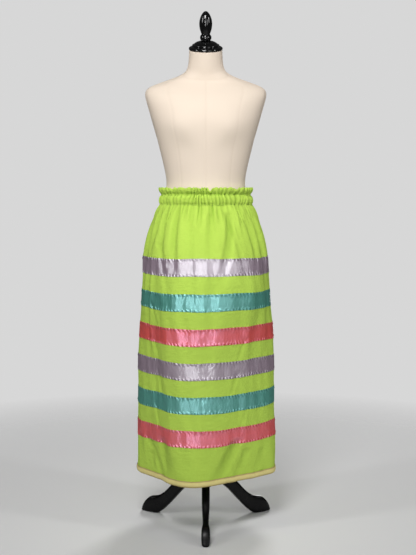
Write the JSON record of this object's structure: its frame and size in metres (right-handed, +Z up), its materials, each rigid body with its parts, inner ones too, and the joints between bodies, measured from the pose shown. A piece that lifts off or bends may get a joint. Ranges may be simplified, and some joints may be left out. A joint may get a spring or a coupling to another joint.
{
  "type": "ribbon skirt on a limbless dress form",
  "caption": "Long gathered cotton ribbon skirt with satin ribbons and an elastic ruffled waist, standing on a limbless dress form with a turned neck cap and a cabriole tripod foot.",
  "frame": {"origin": "centre of the bounding box on the floor plane that the three feet stand on; the pole's axis stands 20 mm behind it", "axes": "+Z up along the pole, -Y the wearer's front, +X the wearer's left"},
  "size_m": [0.4342, 0.4377, 1.5665],
  "materials": {
    "lime_cotton": "matte plain-weave cotton",
    "lilac_satin": "satin sheen",
    "teal_satin": "satin sheen",
    "coral_satin": "satin sheen",
    "straw_binding": "matte bias binding",
    "cream_form_cloth": "matte linen",
    "black_gloss": "gloss lacquer on turned wood",
    "black_pole": "satin black paint",
    "black_wood": "satin black lacquer"
  },
  "bodies": {
    "root": {"skirt_front": "lime_cotton", "skirt_back": "lime_cotton", "waistband": "lime_cotton", "hem_binding": "straw_binding", "ribbon_1_lilac_front": "lilac_satin", "ribbon_1_lilac_back": "lilac_satin", "ribbon_2_teal_front": "teal_satin", "ribbon_2_teal_back": "teal_satin", "ribbon_3_coral_front": "coral_satin", "ribbon_3_coral_back": "coral_satin", "ribbon_4_lilac_front": "lilac_satin", "ribbon_4_lilac_back": "lilac_satin", "ribbon_5_teal_front": "teal_satin", "ribbon_5_teal_back": "teal_satin", "ribbon_6_coral_front": "coral_satin", "ribbon_6_coral_back": "coral_satin", "dress_form": "cream_form_cloth", "neck_cap": "black_gloss", "finial": "black_gloss", "pole": "black_pole", "hub": "black_wood", "leg_front": "black_wood", "leg_left": "black_wood", "leg_right": "black_wood"}
  },
  "joints": []
}
